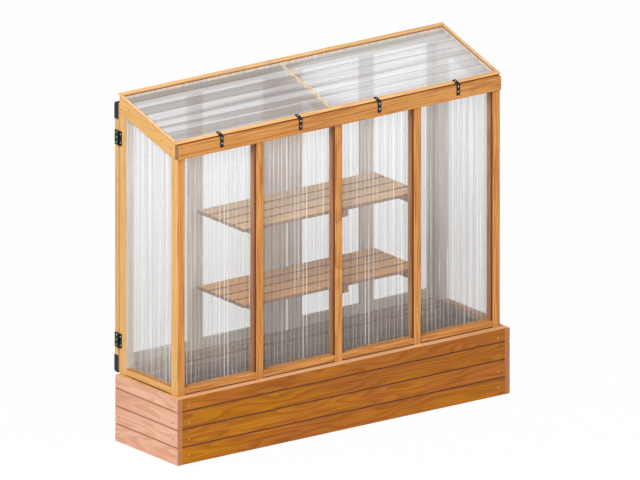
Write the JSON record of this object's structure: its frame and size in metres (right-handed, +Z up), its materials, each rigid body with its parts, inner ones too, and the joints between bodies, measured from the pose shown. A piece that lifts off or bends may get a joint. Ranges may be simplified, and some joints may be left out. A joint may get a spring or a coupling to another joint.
{
  "type": "garden grow house",
  "caption": "Small pent-roofed grow house: timber planter base, framed clear corrugated walls and roof, slatted shelves and doors on the high side.",
  "frame": {"origin": "on the ground under the middle of the whole part's bounding box", "axes": "+X along the length, +Y from the low glazed side to the doors, +Z up"},
  "size_m": [1.283, 0.371, 1.1307],
  "materials": {
    "planter_wood": "stained, low sheen",
    "batten_wood": "sawn",
    "frame_wood": "stained, low sheen",
    "shelf_wood": "planed, bare",
    "clear_sheet": "clear",
    "black_metal": "satin black"
  },
  "bodies": {
    "house": {"back_bottom_rail": "frame_wood", "back_posts": "frame_wood", "back_top_rail": "frame_wood", "base_back_boards": "planter_wood", "base_corner_battens": "batten_wood", "base_front_boards": "planter_wood", "base_ledgers": "batten_wood", "base_left_boards": "planter_wood", "base_right_boards": "planter_wood", "end_bottom_rails": "frame_wood", "front_bottom_rails": "frame_wood", "front_corner_posts": "frame_wood", "front_fascia": "frame_wood", "front_middle_posts": "frame_wood", "front_sheets": "clear_sheet", "left_end_rail": "frame_wood", "left_end_sheet": "clear_sheet", "left_hinge_post_leaves": "black_metal", "lower_shelf_bearers": "shelf_wood", "lower_shelf_slats": "shelf_wood", "right_end_rail": "frame_wood", "right_end_sheet": "clear_sheet", "right_hinge_post_leaves": "black_metal", "roof_brackets": "black_metal", "roof_laths": "frame_wood", "roof_lips": "frame_wood", "roof_rafter": "frame_wood", "roof_sheet": "clear_sheet", "upper_shelf_bearers": "shelf_wood", "upper_shelf_slats": "shelf_wood"},
    "left_door": {"left_door_corner_caps": "black_metal", "left_door_knob": "frame_wood", "left_door_rails": "frame_wood", "left_door_sheets": "clear_sheet", "left_door_stiles": "frame_wood", "left_hinge_door_leaves": "black_metal"},
    "right_door": {"right_door_corner_caps": "black_metal", "right_door_knob": "frame_wood", "right_door_rails": "frame_wood", "right_door_sheets": "clear_sheet", "right_door_stiles": "frame_wood", "right_hinge_door_leaves": "black_metal"}
  },
  "joints": [
    {"name": "left_door_hinge", "type": "hinge", "parent": "house", "child": "left_door", "pos_m": [-0.627, 0.147, 0.2195], "axis": [0, 0, 1], "range_deg": [0, 180]},
    {"name": "right_door_hinge", "type": "hinge", "parent": "house", "child": "right_door", "pos_m": [0.627, 0.147, 0.2195], "axis": [0, 0, -1], "range_deg": [0, 180]}
  ]
}
